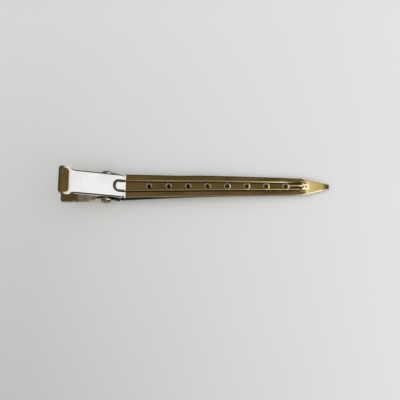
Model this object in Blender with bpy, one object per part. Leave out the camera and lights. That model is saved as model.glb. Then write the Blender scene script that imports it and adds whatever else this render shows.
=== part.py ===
"""Sectioning hair clip: two stamped sheet arms on a hollow rivet, closed by a torsion spring.

The clip lies on its plain lower arm, as on a table. +Z is up and +X runs from the finger
handles to the tip. Routes are drawn in the side plane, as (distance from the tip, height).
"""

import math

import bmesh
import bpy
from mathutils import Matrix, Vector

# The whole clip, in metres
overall_length = 0.0880
sheet = 0.00040
jaw_gap = 0.00020
corner_radius = 0.00055
least_fold = 0.00012

# Slopes of the sheets along the clip, in degrees
tip_slope_deg = 5.1
nip_slope_deg = 3.6
upper_back_slope_deg = 1.2
handle_angle_deg = 27.5
lip_flare_deg = 5.0
lower_lip_flare_deg = 2.6

# The jaws, measured from the tip of the upper one
lower_tip_setback = 0.0020
shoulder_from_tip = 0.0075
upper_knee_from_tip = 0.0350
lower_knee_from_tip = 0.0385
upper_bend_from_tip = 0.0660
lower_bend_from_tip = 0.0676
shoulder_radius = 0.0200
knee_radius = 0.1380
bend_radius = 0.0013

# Half widths of the sheets
nose_half_width = 0.00106
nose_corner = 0.00055
shoulder_half_width = 0.00275
bend_half_width = 0.00410
upper_waist_half_width = 0.00345
upper_handle_half_width = 0.00380
lip_half_width = 0.00450
lip_corner = 0.00095

# Flanges along the jaws, each ending at the notch where its arm is bent
flange_start = 0.0420
upper_jaw_flange = 0.00152
upper_notch_past_bend = 0.00016
upper_notch_round = 0.00050
lower_jaw_flange = 0.00186
lower_notch_past_bend = 0.00075
lower_notch_round = 0.00060

# The upper handle, measured along its slope from the bend
upper_waist = 0.00055
upper_ear_start = 0.0010
upper_ear_end = 0.0112
upper_flange_near = 0.00150
upper_flange_far = 0.00112
upper_flange_end = 0.0164
upper_lip_widening_start = 0.0174
upper_lip_widening = 0.0014
upper_step = 0.0182
upper_handle_length = 0.0221
step_run = 0.00060
step_rise = 0.00050
flange_chamfer = 0.00060

# The lower handle, measured from the tip of the upper arm
lower_ear_start = 0.0687
lower_ear_end = 0.0784
ear_dome_centre = 0.0735
ear_dome_radius = 0.00515
ear_dome_drop = 0.00060
lower_flange_near = 0.00140
lower_flange_far = 0.00126
lower_flange_end = 0.0836
lower_step = 0.0844
lower_step_run = 0.0016
ear_side_gap = 0.00035
lower_handle_half_width = 0.00462

# The stiffening bead of each arm
bead_half_width_tip = 0.00163
bead_half_width_bend = 0.00210
bead_depth_tip = 0.00022
bead_depth_bend = 0.00036
bead_widening_power = 1.5
bead_tip_end = 0.0064
bead_up_handle = 0.0043
lower_bead_end = 0.0560
bead_side_gap = 0.00015
bead_ramp_share = 0.32
least_bead_share = 0.25

# The row of holes in the upper jaw
hole_count = 8
first_hole_from_tip = 0.05845
hole_pitch = 0.00632
hole_radius = 0.00060
dimple_radius = 0.00100
dimple_depth = 0.00012
end_hole_from_tip = 0.0076
end_hole_radius = 0.00035

# The pivot
pivot_from_tip = 0.0724
pivot_height = 0.00280
lobe_radius = 0.00220
shank_radius = 0.00110
rivet_bore_radius = 0.00080
running_clearance = 0.00008
staked_clearance = 0.00005
rim_radius = 0.00165
rim_thickness = 0.00042
rim_gap = 0.00008
mouth_radius = 0.00105
rim_round_share = 0.55

# The torsion spring
wire_radius = 0.00030
coil_clearance = 0.00030
coil_half_turns = 9
coil_pitch = 0.00115
leg_length = 0.0072
leg_gap = 0.00025
points_per_turn = 10

# Fineness of the meshes
jaw_step = 0.0052
ear_step = 0.00050
handle_step = 0.0024
lip_step = 0.0012
fold_step = 0.00030
arc_step = 0.00015
fold_lead = 0.00010
least_step = 0.00008
knee_step = 0.0034
upper_knee_reach = 0.0068
lower_knee_reach = 0.0102
section_shares = (0.0, 0.68, 0.79, 0.90, 1.0)
fold_steps = 3
flange_shares = (0.45, 1.0)
fold_share = 0.85
cap_shares = (0.0, 0.06, 0.2, 0.45, 1.0)
round_shares = (0.0, 0.12, 0.4, 1.0)
shaft_sides = 32
hole_sides = 14
overrun = 0.0010
sharp_angle_deg = 40.0
station_digits = 7

steel_colour = (0.62, 0.58, 0.50)
spring_colour = (0.50, 0.49, 0.47)
rivet_colour = (0.66, 0.63, 0.57)
steel_roughness = 0.12
rivet_roughness = 0.15
spring_roughness = 0.30

handle_angle = math.radians(handle_angle_deg)
ear_inner_half = upper_handle_half_width + ear_side_gap
ear_outer_half = ear_inner_half + sheet
notch_fold = corner_radius / fold_share


def clear_scene():
    """Removes every object the file opened with."""
    for item in list(bpy.data.objects):
        bpy.data.objects.remove(item, do_unlink=True)


def slope(degrees):
    """Rise over run of an angle in degrees."""
    return math.tan(math.radians(degrees))


def world_x(from_tip):
    """Place along X of a distance from the upper arm's tip."""
    return overall_length / 2 - from_tip


def blend(low, high, share):
    """Straight mix of two sizes, held at the ends."""
    return low + (high - low) * min(1, max(0, share))


def smooth(share):
    """S-shaped ramp from 0 to 1."""
    held = min(1, max(0, share))
    return held * held * (3 - 2 * held)


def rounded_route(corners, radii):
    """Turns corners into straight runs and arcs: each piece is (length, start, heading, turning radius)."""
    pieces = []
    marks = [0.0]
    here = Vector(corners[0])
    travelled = 0.0
    headings = [math.atan2(b[1] - a[1], b[0] - a[0]) for a, b in zip(corners, corners[1:])]
    for index, radius in enumerate(radii):
        corner = Vector(corners[index + 1])
        turn = headings[index + 1] - headings[index]
        reach = radius * math.tan(abs(turn) / 2)
        run = (corner - here).length - reach
        pieces.append((run, here.copy(), headings[index], 0.0))
        arc = radius * abs(turn)
        heading = Vector((math.cos(headings[index]), math.sin(headings[index])))
        pieces.append((arc, corner - heading * reach, headings[index], math.copysign(radius, turn)))
        marks.append(travelled + run + arc / 2)
        travelled += run + arc
        leaving = Vector((math.cos(headings[index + 1]), math.sin(headings[index + 1])))
        here = corner + leaving * reach
    run = (Vector(corners[-1]) - here).length
    pieces.append((run, here.copy(), headings[-1], 0.0))
    marks.append(travelled + run)
    return pieces, marks


def place_on(route, distance):
    """Point and heading at a distance along a route."""
    left = distance
    for index, (length, start, heading, radius) in enumerate(route):
        if left <= length or index == len(route) - 1:
            if radius == 0:
                return start + Vector((math.cos(heading), math.sin(heading))) * left, heading
            turned = heading + left / radius
            offset = Vector((math.sin(turned) - math.sin(heading), math.cos(heading) - math.cos(turned)))
            return start + offset * radius, turned
        left -= length


def lower_route():
    """Outer face of the lower arm, from its tip to the end of its lip."""
    tip = (lower_tip_setback, 0.0)
    shoulder = (shoulder_from_tip, (shoulder_from_tip - tip[0]) * slope(tip_slope_deg))
    knee_rise = (lower_knee_from_tip - shoulder_from_tip) * slope(nip_slope_deg)
    knee = (lower_knee_from_tip, shoulder[1] + knee_rise)
    bend = (lower_bend_from_tip, 0.0)
    lip_run = overall_length - lower_step - lower_step_run
    lip_start = lip_run * slope(lower_lip_flare_deg)
    step = (lower_step, 0.0)
    step_top = (lower_step + lower_step_run, lip_start)
    end = (overall_length, 0.0)
    corners = (tip, shoulder, knee, bend, step, step_top, end)
    return rounded_route(corners, (shoulder_radius, knee_radius, bend_radius, sheet, sheet))


def upper_heights():
    """Heights of the upper arm's outer face at its tip, shoulder, knee and bend."""
    closed = 2 * sheet + jaw_gap
    shoulder = (shoulder_from_tip - lower_tip_setback) * slope(tip_slope_deg) + closed
    tip = shoulder - shoulder_from_tip * slope(tip_slope_deg)
    knee = shoulder + (upper_knee_from_tip - shoulder_from_tip) * slope(nip_slope_deg)
    bend = knee + (upper_bend_from_tip - upper_knee_from_tip) * slope(upper_back_slope_deg)
    return tip, shoulder, knee, bend


def upper_route():
    """Outer face of the upper arm, from its tip to the end of its lip."""
    heights = upper_heights()
    tip = (0.0, heights[0])
    shoulder = (shoulder_from_tip, heights[1])
    knee = (upper_knee_from_tip, heights[2])
    bend = (upper_bend_from_tip, heights[3])
    along = Vector((math.cos(handle_angle), math.sin(handle_angle)))
    outward = Vector((-along.y, along.x))
    step = Vector(bend) + along * upper_step
    step_top = step + along * step_run + outward * step_rise
    flare = handle_angle + math.radians(lip_flare_deg)
    lip = upper_handle_length - upper_step - step_run
    end = step_top + Vector((math.cos(flare), math.sin(flare))) * lip
    corners = (tip, shoulder, knee, bend, tuple(step), tuple(step_top), tuple(end))
    return rounded_route(corners, (shoulder_radius, knee_radius, bend_radius, sheet, sheet))


def rounded_half(half, radius, to_end):
    """Half width of a sheet near an end whose corners are rounded."""
    if to_end >= radius:
        return half
    return half - radius + math.sqrt(max(0, radius * radius - (radius - to_end) ** 2))


def jaw_half_width(from_nose, bend_mark):
    """Half width of a jaw: a rounded nose, a quick taper and a long slow one."""
    if from_nose < nose_corner:
        return rounded_half(nose_half_width, nose_corner, from_nose)
    if from_nose < shoulder_from_tip:
        share = (from_nose - nose_corner) / (shoulder_from_tip - nose_corner)
        return blend(nose_half_width, shoulder_half_width, share)
    share = (from_nose - shoulder_from_tip) / (bend_mark - shoulder_from_tip)
    return blend(shoulder_half_width, bend_half_width, share)


def jaw_flange_depth(distance, end_mark, full_depth, end_round):
    """Depth of a jaw's side flange, which starts halfway and ends in a round at the notch."""
    share = (distance - flange_start) / (end_mark - flange_start)
    depth = blend(least_fold, full_depth, share)
    into_round = distance - (end_mark - end_round)
    if into_round > 0:
        left = math.sqrt(max(0, 1 - (into_round / end_round) ** 2))
        depth = blend(notch_fold, depth, left)
    return depth


def upper_half_width(distance, marks):
    """Half width of the upper arm."""
    bend_mark = marks[3]
    from_bend = distance - bend_mark
    if from_bend < upper_notch_past_bend:
        return jaw_half_width(distance, bend_mark)
    if from_bend < upper_waist:
        share = (from_bend - upper_notch_past_bend) / (upper_waist - upper_notch_past_bend)
        return blend(bend_half_width, upper_waist_half_width, share)
    if from_bend < upper_ear_start:
        share = (from_bend - upper_waist) / (upper_ear_start - upper_waist)
        return blend(upper_waist_half_width, upper_handle_half_width, share)
    share = (from_bend - upper_lip_widening_start) / upper_lip_widening
    half = blend(upper_handle_half_width, lip_half_width, share)
    return rounded_half(half, lip_corner, marks[6] - distance)


def tangent_slope(base, centre, radius):
    """Fall of the line from a base point that just touches a circle, and where it touches."""
    away = Vector((base[0] - centre[0], base[1] - centre[1]))
    heading = math.atan2(away.y, away.x) + math.acos(radius / away.length)
    touch = (centre[0] + radius * math.cos(heading), centre[1] + radius * math.sin(heading))
    return (touch[1] - base[1]) / (touch[0] - base[0]), touch


def pivot_in_handle():
    """The pivot seen from the upper bend: distance up the handle and depth under its outer face."""
    run = pivot_from_tip - upper_bend_from_tip
    drop = upper_heights()[3] - pivot_height
    up = run * math.cos(handle_angle) - drop * math.sin(handle_angle)
    under = run * math.sin(handle_angle) + drop * math.cos(handle_angle)
    return up, under


def upper_ear_depth(up):
    """Depth of the upper ear: a lobe round the pivot that tapers back to the handle's flange."""
    centre = pivot_in_handle()
    base = (upper_ear_end, upper_flange_near)
    fall, touch = tangent_slope(base, centre, lobe_radius)
    if up > touch[0]:
        return base[1] + (up - base[0]) * fall
    rest_line = centre[1] + lobe_radius / math.cos(handle_angle) + (up - centre[0]) * math.tan(handle_angle)
    across = up - centre[0]
    lobe = centre[1] + math.sqrt(max(0, lobe_radius * lobe_radius - across * across))
    leftmost = centre[0] - lobe_radius * math.sin(handle_angle)
    return rest_line if up < leftmost else lobe


def upper_flange_depth(distance, marks):
    """Depth of the upper arm's flange along jaw, notch, ear and handle."""
    from_bend = distance - marks[3]
    if from_bend < upper_notch_past_bend:
        end_mark = marks[3] + upper_notch_past_bend
        return jaw_flange_depth(distance, end_mark, upper_jaw_flange, upper_notch_round)
    if from_bend < upper_ear_start:
        return notch_fold
    if from_bend < upper_ear_end:
        return upper_ear_depth(from_bend)
    if from_bend < upper_flange_end:
        share = (from_bend - upper_ear_end) / (upper_flange_end - upper_ear_end)
        return blend(upper_flange_near, upper_flange_far, share)
    share = (from_bend - upper_flange_end) / flange_chamfer
    return blend(upper_flange_far, least_fold, share)


def lower_half_width(distance, marks):
    """Half width of the lower arm, whose ears stand outside those of the upper arm."""
    from_tip = distance + lower_tip_setback
    notch = lower_bend_from_tip + lower_notch_past_bend
    if from_tip < notch:
        return jaw_half_width(distance, marks[3])
    if from_tip < lower_ear_start:
        return blend(bend_half_width, ear_outer_half, (from_tip - notch) / (lower_ear_start - notch))
    if from_tip < lower_ear_end:
        return ear_outer_half
    if from_tip < lower_flange_end:
        share = smooth((from_tip - lower_ear_end) / (lower_flange_end - lower_ear_end))
        return blend(ear_outer_half, lower_handle_half_width, share)
    share = (distance - marks[4]) / (marks[5] - marks[4])
    half = blend(lower_handle_half_width, lip_half_width, share)
    return rounded_half(half, lip_corner, marks[6] - distance)


def lower_flange_depth(distance, marks):
    """Depth of the lower arm's flange along jaw, notch, domed ear and handle."""
    from_tip = distance + lower_tip_setback
    notch = lower_bend_from_tip + lower_notch_past_bend
    if from_tip < notch:
        end_mark = notch - lower_tip_setback
        return jaw_flange_depth(distance, end_mark, lower_jaw_flange, lower_notch_round)
    if from_tip < lower_ear_start:
        return notch_fold
    if from_tip < lower_ear_end:
        across = from_tip - ear_dome_centre
        return math.sqrt(ear_dome_radius * ear_dome_radius - across * across) - ear_dome_drop
    if from_tip < lower_flange_end:
        share = (from_tip - lower_ear_end) / (lower_flange_end - lower_ear_end)
        return blend(lower_flange_near, lower_flange_far, share)
    return blend(lower_flange_far, least_fold, (from_tip - lower_flange_end) / flange_chamfer)


def bead_size(distance, start, end, bend_mark):
    """Half width, edge at this station, depth and ramp of a bead with round ends."""
    share = min(1, distance / bend_mark)
    half = blend(bead_half_width_tip, bead_half_width_bend, share**bead_widening_power)
    depth = blend(bead_depth_tip, bead_depth_bend, share)
    past = max(start + half - distance, distance - (end - half), 0)
    edge = math.sqrt(max(0, half * half - past * past))
    return half, edge, depth, past


def bead_height(across, size):
    """Depth of the bead at a point across the sheet, by its distance inside the bead's outline."""
    half, edge, depth, past = size
    inside = half - math.hypot(across, past)
    return depth * smooth(inside / (half * bead_ramp_share))


def section(half, fold_depth, size):
    """Half of the sheet's outer cross-section as (across, under) points, from the middle to the edge."""
    arc_depth = min(corner_radius, fold_depth * fold_share)
    fold = math.acos(1 - arc_depth / corner_radius)
    rest = fold_depth - arc_depth
    arc_out = corner_radius * math.sin(fold)
    tail_out = rest / math.tan(fold)
    arc_start = half - arc_out - tail_out
    edge = min(max(size[1], size[0] * least_bead_share), arc_start * fold_share)
    points = [(edge * share, bead_height(edge * share, size)) for share in section_shares]
    for step in range(fold_steps + 1):
        angle = fold * step / fold_steps
        out = arc_start + corner_radius * math.sin(angle)
        points.append((out, corner_radius * (1 - math.cos(angle))))
    for share in flange_shares:
        points.append((arc_start + arc_out + tail_out * share, arc_depth + rest * share))
    return points


def stations(spans):
    """Distances along a sheet from spans of (start, end, largest step)."""
    found = set()
    for start, end, step in spans:
        count = max(1, math.ceil((end - start) / step))
        found.update(round(start + (end - start) * k / count, station_digits) for k in range(count + 1))
    return sorted(found)


def steel(name, colour, roughness):
    """Polished plated steel."""
    material = bpy.data.materials.new(name)
    material.use_nodes = True
    shader = material.node_tree.nodes["Principled BSDF"]
    shader.inputs["Base Color"].default_value = (*colour, 1)
    shader.inputs["Metallic"].default_value = 1
    shader.inputs["Roughness"].default_value = roughness
    return material


def upper_arm_steel():
    """Bright nickel plate of the upper arm."""
    return steel("upper_arm_steel", steel_colour, steel_roughness)


def lower_arm_steel():
    """Bright nickel plate of the lower arm."""
    return steel("lower_arm_steel", steel_colour, steel_roughness)


def rivet_steel():
    """Paler plate of the hollow rivet."""
    return steel("rivet_steel", rivet_colour, rivet_roughness)


def spring_steel():
    """Duller drawn wire of the spring."""
    return steel("spring_steel", spring_colour, spring_roughness)


def new_object(name, mesh, material):
    """Adds a named object with its material to the scene."""
    item = bpy.data.objects.new(name, mesh)
    bpy.context.scene.collection.objects.link(item)
    mesh.materials.append(material)
    mesh.shade_smooth()
    mesh.set_sharp_from_angle(angle=math.radians(sharp_angle_deg))
    return item


def sheet_mesh(name, route, places, half_at, fold_at, bead_at, inward):
    """Outer face of a stamped arm: a folded section carried along the route."""
    rows = []
    for distance in places:
        point, heading = place_on(route, distance)
        under = Vector((-math.sin(heading), math.cos(heading))) * inward
        half = section(half_at(distance), fold_at(distance), bead_at(distance))
        full = [(-out, depth) for out, depth in reversed(half[1:])] + half
        row = []
        for out, depth in full:
            spot = point + under * depth
            row.append((world_x(spot.x), out, spot.y))
        rows.append(row)
    width = len(rows[0])
    vertices = [spot for row in rows for spot in row]
    faces = []
    for r in range(len(rows) - 1):
        for c in range(width - 1):
            a = r * width + c
            quad = (a, a + 1, a + width + 1, a + width)
            faces.append(quad if inward < 0 else quad[::-1])
    mesh = bpy.data.meshes.new(name)
    mesh.from_pydata(vertices, [], faces)
    mesh.update()
    return mesh


def thicken(item):
    """Gives the sheet its thickness on the inner side."""
    shell = item.modifiers.new("sheet thickness", "SOLIDIFY")
    shell.thickness = sheet
    shell.offset = -1


def turned_mesh(name, profile):
    """Solid of revolution about Y from (radius, place along Y) points round a closed ring section."""
    shape = bmesh.new()
    rings = []
    for step in range(shaft_sides):
        angle = 2 * math.pi * step / shaft_sides
        rings.append([shape.verts.new((r * math.cos(angle), y, r * math.sin(angle))) for r, y in profile])
    count = len(profile)
    for step in range(shaft_sides):
        here, there = rings[step], rings[(step + 1) % shaft_sides]
        for k in range(count):
            after = (k + 1) % count
            shape.faces.new((here[k], here[after], there[after], there[k]))
    bmesh.ops.recalc_face_normals(shape, faces=shape.faces)
    mesh = bpy.data.meshes.new(name)
    shape.to_mesh(mesh)
    shape.free()
    return mesh


def cutter(name, mesh, place):
    """A hidden tool that cuts other pieces."""
    item = bpy.data.objects.new(name, mesh)
    bpy.context.scene.collection.objects.link(item)
    item.matrix_world = place
    item.hide_render = True
    item.display_type = "WIRE"
    return item


def lathe_cutter(name, profile, sides, place):
    """A solid cutter turned about its own Z from (radius, height) points."""
    shape = bmesh.new()
    rings = []
    for radius, height in profile:
        ring = []
        for step in range(sides):
            angle = 2 * math.pi * step / sides
            ring.append(shape.verts.new((radius * math.cos(angle), radius * math.sin(angle), height)))
        rings.append(ring)
    for below, above in zip(rings, rings[1:]):
        for k in range(sides):
            after = (k + 1) % sides
            shape.faces.new((below[k], below[after], above[after], above[k]))
    shape.faces.new(rings[0][::-1])
    shape.faces.new(rings[-1])
    bmesh.ops.recalc_face_normals(shape, faces=shape.faces)
    mesh = bpy.data.meshes.new(name)
    shape.to_mesh(mesh)
    shape.free()
    return cutter(name, mesh, place)


def cut(item, tool):
    """Takes a tool's shape away from a piece."""
    change = item.modifiers.new(tool.name, "BOOLEAN")
    change.operation = "DIFFERENCE"
    change.object = tool
    change.solver = "EXACT"


def pivot_cutter(name, radius):
    """Shaft hole across both ears of an arm."""
    reach = ear_outer_half + overrun
    turn = Matrix.Rotation(math.pi / 2, 4, "X")
    place = Matrix.Translation((world_x(pivot_from_tip), 0, pivot_height)) @ turn
    return lathe_cutter(name, ((radius, -reach), (radius, reach)), shaft_sides, place)


def row_hole_cutters(route):
    """Dimpled holes along the floor of the upper bead, and a small one at its end."""
    tools = []
    row = [(first_hole_from_tip - hole_pitch * k, hole_radius) for k in range(hole_count)]
    row.append((end_hole_from_tip, end_hole_radius))
    for index, (from_tip, radius) in enumerate(row):
        point, heading = place_on(route, from_tip)
        depth = bead_size(from_tip, bead_tip_end, upper_bend_from_tip, upper_bend_from_tip)[2]
        rim = radius * dimple_radius / hole_radius
        profile = (
            (radius, -sheet - overrun),
            (radius, -dimple_depth),
            (rim, 0.0),
            (rim, depth + overrun),
        )
        down = Vector((-math.sin(heading), math.cos(heading))) * depth
        place = Matrix.Translation((world_x(point.x - down.x), 0, point.y - down.y))
        tilt = Matrix.Rotation(heading, 4, "Y")
        tools.append(lathe_cutter(f"row_hole_tool_{index + 1}", profile, hole_sides, place @ tilt))
    return tools


def cap_marks(end, half, way):
    """Stations that follow the round end of a bead."""
    return [end + way * half * share for share in cap_shares]


def round_marks(end, radius, way):
    """Stations that follow a rounded corner at the end of a sheet."""
    return [end + way * radius * share for share in round_shares]


def upper_stations(marks):
    """Where the upper arm's sections stand."""
    bend = marks[3]
    bend_half = bend_radius * handle_angle / 2
    spans = [
        (shoulder_from_tip, marks[2] - upper_knee_reach, jaw_step),
        (marks[2] - upper_knee_reach, marks[2] + upper_knee_reach, knee_step),
        (marks[2] + upper_knee_reach, bend - bend_half, jaw_step),
        (bend - bend_half, bend + bend_half, arc_step),
        (bend + upper_ear_start, bend + upper_ear_end, ear_step),
        (bend + upper_ear_end, bend + upper_flange_end, handle_step),
        (bend + upper_flange_end, bend + upper_flange_end + flange_chamfer, flange_chamfer),
        (marks[4], marks[5], fold_step),
        (marks[5], marks[6] - lip_corner, lip_step),
    ]
    found = stations(spans)
    found += round_marks(0.0, nose_corner, 1)
    found += cap_marks(bead_tip_end, bead_half_width_tip, 1)
    found += cap_marks(bend + bead_up_handle, bead_half_width_bend, -1)
    found += round_marks(marks[6], lip_corner, -1)
    widening = bend + upper_lip_widening_start
    found += [bend + upper_waist, bend + upper_ear_start - fold_lead, widening, widening + upper_lip_widening]
    return thin_out(found)


def lower_stations(marks):
    """Where the lower arm's sections stand."""
    notch = lower_bend_from_tip + lower_notch_past_bend - lower_tip_setback
    ear_start = lower_ear_start - lower_tip_setback
    ear_end = lower_ear_end - lower_tip_setback
    flange_end = lower_flange_end - lower_tip_setback
    spans = [
        (shoulder_from_tip - lower_tip_setback, marks[2] - lower_knee_reach, jaw_step),
        (marks[2] - lower_knee_reach, marks[2] + lower_knee_reach, knee_step),
        (marks[2] + lower_knee_reach, notch - lower_notch_round, jaw_step),
        (notch - lower_notch_round, notch, fold_step),
        (ear_start, ear_end, ear_step),
        (ear_end, flange_end, handle_step),
        (flange_end, flange_end + flange_chamfer, flange_chamfer),
        (marks[4], marks[5], fold_step),
        (marks[5], marks[6] - lip_corner, lip_step),
    ]
    found = stations(spans)
    found += round_marks(0.0, nose_corner, 1)
    found += cap_marks(bead_tip_end - lower_tip_setback, bead_half_width_tip, 1)
    found += cap_marks(lower_bead_end - lower_tip_setback, bead_half_width_bend, -1)
    found += round_marks(marks[6], lip_corner, -1)
    found.append(ear_start - fold_lead)
    return thin_out(found)


def thin_out(places):
    """Sorted stations without near doubles."""
    kept = []
    for place in sorted(places):
        if not kept or place - kept[-1] > least_step:
            kept.append(place)
    return kept


def upper_arm(material):
    """The perforated arm on top: jaw, ears, finger handle and lip from one stamping."""
    route, marks = upper_route()
    bead_end = marks[3] + bead_up_handle
    mesh = sheet_mesh(
        "upper_arm",
        route,
        upper_stations(marks),
        lambda d: upper_half_width(d, marks),
        lambda d: upper_flange_depth(d, marks),
        lambda d: bead_size(d, bead_tip_end, bead_end, marks[3]),
        -1,
    )
    item = new_object("upper_arm", mesh, material)
    thicken(item)
    for tool in row_hole_cutters(route):
        cut(item, tool)
    cut(item, pivot_cutter("upper_pivot_tool", shank_radius + running_clearance))
    hang_on_pivot(item)


def lower_arm(material):
    """The plain arm below, whose handle lies flat and whose ears hold the rivet."""
    route, marks = lower_route()
    start = bead_tip_end - lower_tip_setback
    end = lower_bead_end - lower_tip_setback
    mesh = sheet_mesh(
        "lower_arm",
        route,
        lower_stations(marks),
        lambda d: lower_half_width(d, marks),
        lambda d: lower_flange_depth(d, marks),
        lambda d: lower_bead(d, start, end, marks[3]),
        1,
    )
    item = new_object("lower_arm", mesh, material)
    thicken(item)
    cut(item, pivot_cutter("lower_pivot_tool", shank_radius + staked_clearance))


def lower_bead(distance, start, end, bend_mark):
    """The lower bead nests under the upper one: a little wider, and pressed outward on its own arm."""
    half, edge, depth, past = bead_size(distance, start, end, bend_mark)
    share = (half + bead_side_gap) / half
    return half * share, edge * share, -depth, past * share


def hang_on_pivot(item):
    """Moves a piece's origin to the hinge axis without moving the piece."""
    pivot = Vector((world_x(pivot_from_tip), 0, pivot_height))
    item.data.transform(Matrix.Translation(-pivot))
    item.location = pivot


def pivot_rivet(material):
    """Hollow rivet with a rolled rim outside each lower ear."""
    seat = ear_outer_half + rim_gap
    face = seat + rim_thickness
    soft = rim_thickness * rim_round_share
    half = (
        (shank_radius, 0.0),
        (shank_radius, seat),
        (rim_radius - soft / 2, seat),
        (rim_radius, seat + soft / 2),
        (rim_radius - soft / 2, face - soft / 2),
        (mouth_radius + soft, face),
        (mouth_radius, face - soft / 2),
        (rivet_bore_radius, seat - soft),
        (rivet_bore_radius, 0.0),
    )
    far = [(radius, -place) for radius, place in reversed(half[1:-1])]
    profile = list(half) + far
    item = new_object("pivot_rivet", turned_mesh("pivot_rivet", profile), material)
    item.location = (world_x(pivot_from_tip), 0, pivot_height)


def leg_start(target, mean_radius, way):
    """Angle on the coil where a straight leg to the target leaves it, in the side plane."""
    heading = math.atan2(target.y, target.x)
    return heading + way * math.acos(mean_radius / target.length)


def spring_points():
    """Centre line of the spring: one leg, the coil and the other leg, about the pivot."""
    mean_radius = shank_radius + coil_clearance + wire_radius
    lower_drop = pivot_height - sheet - leg_gap - wire_radius
    lower_target = Vector((leg_length, -lower_drop))
    up, under = pivot_in_handle()
    rise = under - sheet - leg_gap - wire_radius
    along = Vector((math.cos(handle_angle), math.sin(handle_angle)))
    outward = Vector((-along.y, along.x))
    upper_target = along * leg_length + outward * rise
    start = leg_start(lower_target, mean_radius, -1)
    finish = leg_start(upper_target, mean_radius, 1)
    full_turns = (coil_half_turns - 1) // 2
    sweep = 2 * math.pi * (full_turns + 1) - (finish - start)
    count = round(points_per_turn * sweep / (2 * math.pi))
    width = coil_pitch * sweep / (2 * math.pi)
    pivot = Vector((world_x(pivot_from_tip), 0, pivot_height))

    def in_world(side, place_y):
        return pivot + Vector((-side.x, place_y, side.y))

    points = [in_world(lower_target, width / 2)]
    for step in range(count + 1):
        angle = start - sweep * step / count
        side = Vector((math.cos(angle), math.sin(angle))) * mean_radius
        points.append(in_world(side, width * (1 / 2 - step / count)))
    points.append(in_world(upper_target, -width / 2))
    return points


def least_self_gap(points):
    """Smallest clear distance between stretches of wire that are more than half a turn apart."""
    best = math.inf
    for a in range(len(points)):
        for b in range(a + points_per_turn // 2, len(points)):
            best = min(best, (points[a] - points[b]).length - 2 * wire_radius)
    return best


def torsion_spring(material):
    """Round wire wound about the rivet, with a leg under each handle."""
    points = spring_points()
    print(f"torsion_spring least gap to itself {least_self_gap(points):.6f} m")
    curve = bpy.data.curves.new("torsion_spring", "CURVE")
    curve.dimensions = "3D"
    curve.bevel_depth = wire_radius
    curve.bevel_resolution = 1
    curve.use_fill_caps = True
    line = curve.splines.new("POLY")
    line.points.add(len(points) - 1)
    for spot, point in zip(line.points, points):
        spot.co = (*point, 1)
    curve.materials.append(material)
    item = bpy.data.objects.new("torsion_spring", curve)
    bpy.context.scene.collection.objects.link(item)


def build_clip():
    """Makes the four pieces of the clip."""
    clear_scene()
    lower_arm(lower_arm_steel())
    upper_arm(upper_arm_steel())
    pivot_rivet(rivet_steel())
    torsion_spring(spring_steel())


build_clip()
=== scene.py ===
"""Looks of a sectioning hair clip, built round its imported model.

World frame, in metres: +X to the tip, +Z up. A place on an arm is given by the distance along its
outer face from its own tip, and by the distance across it, which follows the folded sheet from the
middle line to the cut edge.
"""

import math

import bpy
import numpy as np
from mathutils import Matrix


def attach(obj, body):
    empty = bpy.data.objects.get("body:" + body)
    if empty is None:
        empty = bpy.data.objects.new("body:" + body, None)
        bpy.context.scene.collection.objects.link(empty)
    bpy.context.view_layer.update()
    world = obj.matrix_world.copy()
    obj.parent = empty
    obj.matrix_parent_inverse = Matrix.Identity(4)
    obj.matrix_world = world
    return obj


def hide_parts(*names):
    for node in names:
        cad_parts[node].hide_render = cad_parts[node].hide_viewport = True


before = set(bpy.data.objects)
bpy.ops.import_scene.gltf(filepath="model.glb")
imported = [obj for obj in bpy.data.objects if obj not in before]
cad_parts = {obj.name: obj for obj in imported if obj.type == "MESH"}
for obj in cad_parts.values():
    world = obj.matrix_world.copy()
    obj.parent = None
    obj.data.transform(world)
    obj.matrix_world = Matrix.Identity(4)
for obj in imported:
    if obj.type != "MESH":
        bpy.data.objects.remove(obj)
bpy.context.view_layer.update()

# The arms: their routes, seen from the side, and their widths, seen from above
overall_length = 0.0880
sheet = 0.00040
jaw_gap = 0.00020
corner_radius = 0.00055
least_fold = 0.00012
fold_share = 0.85
edge_round = 0.00006

tip_slope = math.tan(math.radians(5.1))
nip_slope = math.tan(math.radians(3.6))
back_slope = math.tan(math.radians(1.2))
handle_angle = math.radians(27.5)
lip_flare = math.radians(5.0)
lower_lip_flare = math.tan(math.radians(2.6))

shoulder_from_tip = 0.0075
lower_setback = 0.0020
upper_knee = 0.0350
lower_knee = 0.0385
upper_bend = 0.0660
lower_bend = 0.0676
route_radii = np.array((0.0200, 0.1380, 0.0013, 0.0004, 0.0004))

nose_half = 0.00106
nose_corner = 0.00055
shoulder_half = 0.00275
bend_half = 0.00410
waist_half = 0.00345
handle_half = 0.00380
lip_half = 0.00450
lip_corner = 0.00095
rim_width = 0.000578
pad_corner = 0.00120
pad_overlap = 0.00010
lip_curl = 0.00003
lip_curl_length = 0.0010
ear_outer_half = 0.00455
lower_handle_half = 0.00462

# Flanges, notches and ears
flange_start = 0.0420
upper_jaw_flange = 0.00152
upper_notch = 0.00016
upper_notch_round = 0.00050
lower_jaw_flange = 0.00186
lower_notch = 0.00075
lower_notch_round = 0.00060
notch_fold = corner_radius / fold_share

upper_waist = 0.00055
upper_ear_start = 0.0010
upper_ear_end = 0.0112
upper_flange_near = 0.00150
upper_flange_far = 0.00112
upper_flange_end = 0.0164
lip_widening_start = 0.0174
lip_widening = 0.0014
upper_step = 0.0182
upper_handle_length = 0.0221
step_run = 0.00060
step_rise = 0.00050
flange_chamfer = 0.00060

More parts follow.
